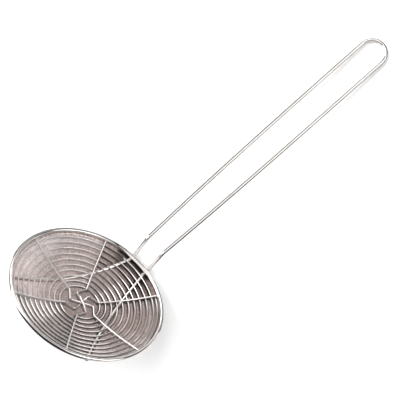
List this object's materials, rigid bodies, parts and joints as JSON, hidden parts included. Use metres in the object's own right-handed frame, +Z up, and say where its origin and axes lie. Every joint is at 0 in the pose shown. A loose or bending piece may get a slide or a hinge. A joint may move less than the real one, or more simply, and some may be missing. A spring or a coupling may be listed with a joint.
{
  "type": "wire skimmer",
  "caption": "Round wire skimmer: a dished woven screen in a wire hoop, with a spiral wire and kinked cross wires over it, and a long bent wire handle that ends in a hanging loop.",
  "frame": {"origin": "centre of the bounding box at its bottom, on the table that the tool lies on", "axes": "+Z up; +Y along the tool, from the far side of the bowl towards the hanging loop; +X to the right of the tool seen from above with the handle pointing away"},
  "size_m": [0.16, 0.4543, 0.1092],
  "materials": {
    "rim_steel": "bright plated wire",
    "handle_steel": "bright plated wire",
    "screen_steel": "fine plain-woven wire, satin",
    "spiral_steel": "bright plated wire",
    "cross_steel": "bright plated wire"
  },
  "bodies": {
    "root": {"rim_hoop": "rim_steel", "handle_wire": "handle_steel", "mesh_screen": "screen_steel", "spiral_wire": "spiral_steel", "cross_wire_1": "cross_steel", "cross_wire_2": "cross_steel", "cross_wire_3": "cross_steel"}
  },
  "joints": []
}
